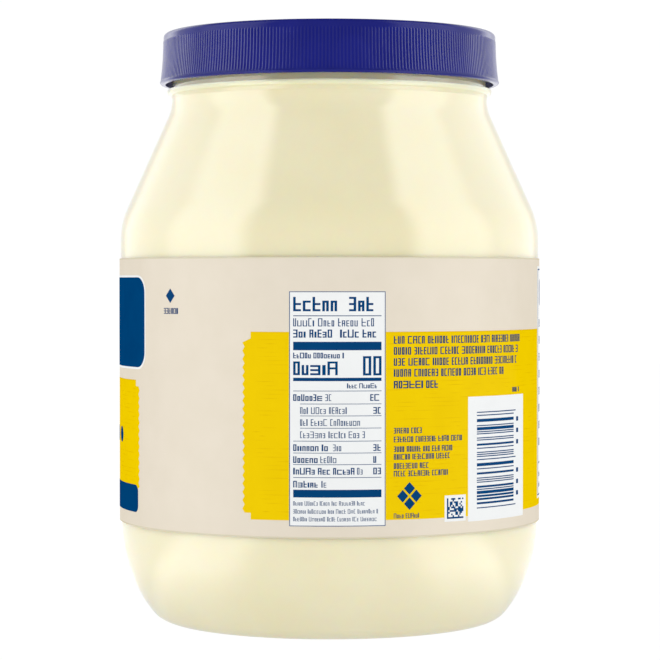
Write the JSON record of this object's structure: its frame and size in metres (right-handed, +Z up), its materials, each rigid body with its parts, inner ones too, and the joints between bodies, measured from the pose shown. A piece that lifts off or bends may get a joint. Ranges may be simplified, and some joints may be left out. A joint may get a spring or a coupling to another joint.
{
  "type": "mayonnaise jar",
  "caption": "Wide-mouth clear plastic jar full of mayonnaise, with a cone shoulder, a wrap-round film label and a ribbed blue screw cap.",
  "frame": {"origin": "centre of the foot, on the surface that the jar stands on", "axes": "+Z up along the jar's axis, -Y towards the side that the picture shows, +X to that side's right"},
  "size_m": [0.13, 0.13, 0.1806],
  "materials": {
    "clear_pet": "clear blow-moulded PET",
    "mayonnaise": "satin cream emulsion",
    "label_film": "satin printed film, warm grey with yellow, white and navy fields",
    "cap_plastic": "injection-moulded polypropylene, ribbed skirt"
  },
  "bodies": {
    "root": {"jar": "clear_pet", "mayonnaise": "mayonnaise", "label": "label_film", "cap": "cap_plastic"}
  },
  "joints": []
}
